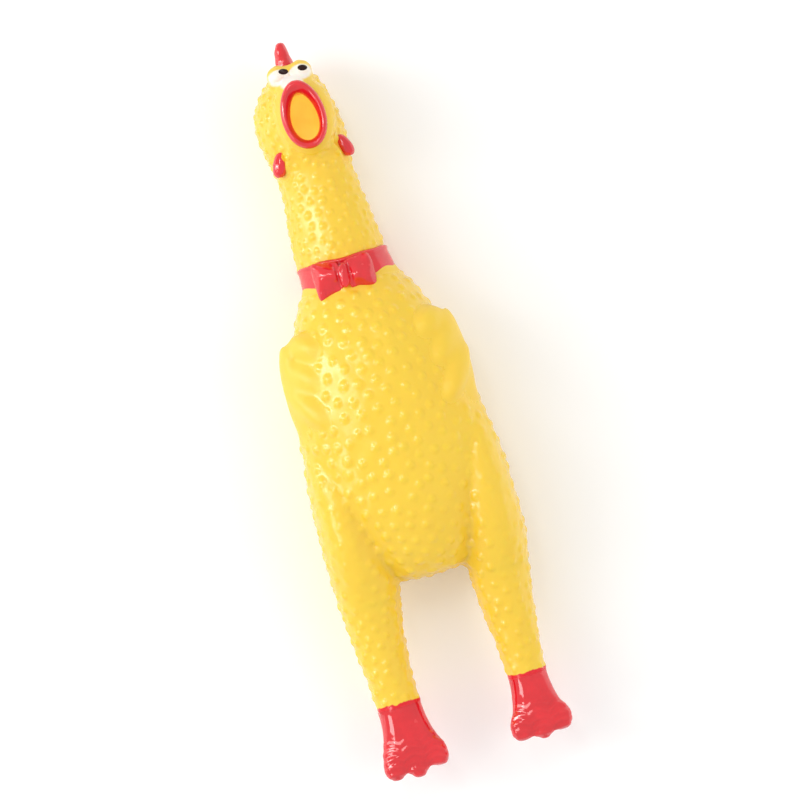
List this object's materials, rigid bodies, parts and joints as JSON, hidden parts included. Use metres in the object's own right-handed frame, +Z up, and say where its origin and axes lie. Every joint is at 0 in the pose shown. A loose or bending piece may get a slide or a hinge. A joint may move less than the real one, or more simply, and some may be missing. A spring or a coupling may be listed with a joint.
{
  "type": "rubber chicken",
  "caption": "Hollow glossy vinyl joke chicken lying on its back, mouth wide open, with bending neck and legs, a belly that presses in and a reed squeaker in the neck.",
  "frame": {"origin": "under the middle of the toy, on the surface that its back rests on", "axes": "+Z up out of the chest, +Y towards the head along the toy's length, +X to the toy's left as it lies"},
  "size_m": [0.0478, 0.17, 0.0317],
  "materials": {
    "yellow_vinyl": "glossy soft vinyl, moulded with small bumps",
    "red_painted_vinyl": "glossy red paint on vinyl",
    "white_painted_vinyl": "white paint on vinyl",
    "black_paint": "dab of near-black paint",
    "squeaker_plastic": "plain moulded plastic",
    "reed_film": "thin springy plastic strip"
  },
  "bodies": {
    "torso": {"torso_skin": "yellow_vinyl", "left_wing": "yellow_vinyl", "right_wing": "yellow_vinyl", "neck_band": "red_painted_vinyl", "bow_tie": "red_painted_vinyl", "squeaker_housing": "squeaker_plastic", "squeaker_cap": "squeaker_plastic", "reed_block": "squeaker_plastic", "reed_clamp": "squeaker_plastic", "reed_root": "reed_film"},
    "belly": {"belly_panel": "yellow_vinyl"},
    "head": {"head_skin": "yellow_vinyl", "comb": "red_painted_vinyl", "beak_rim": "red_painted_vinyl", "left_wattle": "red_painted_vinyl", "right_wattle": "red_painted_vinyl", "left_eye_white": "white_painted_vinyl", "right_eye_white": "white_painted_vinyl", "left_pupil": "black_paint", "right_pupil": "black_paint"},
    "left_leg": {"left_leg_skin": "yellow_vinyl", "left_foot": "red_painted_vinyl"},
    "right_leg": {"right_leg_skin": "yellow_vinyl", "right_foot": "red_painted_vinyl"},
    "reed": {"reed_tongue": "reed_film"}
  },
  "joints": [
    {"name": "neck_bend", "type": "hinge", "parent": "torso", "child": "head", "pos_m": [0, 0.045, 0.013], "axis": [1, 0, 0], "range_deg": [-35, 40], "stiffness_Nm_per_rad": 0.2},
    {"name": "left_hip_bend", "type": "hinge", "parent": "torso", "child": "left_leg", "pos_m": [0.0153, -0.048, 0.013], "axis": [-1, 0, 0], "range_deg": [-25, 42], "stiffness_Nm_per_rad": 0.08},
    {"name": "right_hip_bend", "type": "hinge", "parent": "torso", "child": "right_leg", "pos_m": [-0.0153, -0.048, 0.013], "axis": [-1, 0, 0], "range_deg": [-25, 42], "stiffness_Nm_per_rad": 0.08},
    {"name": "belly_press", "type": "slide", "parent": "torso", "child": "belly", "axis": [0, 0, -1], "range_m": [0, 0.005], "stiffness_N_per_m": 900},
    {"name": "reed_flex", "type": "hinge", "parent": "torso", "child": "reed", "pos_m": [0, 0.0352, 0.01328], "axis": [-1, 0, 0], "range_deg": [0, 6], "stiffness_Nm_per_rad": 0.009}
  ]
}
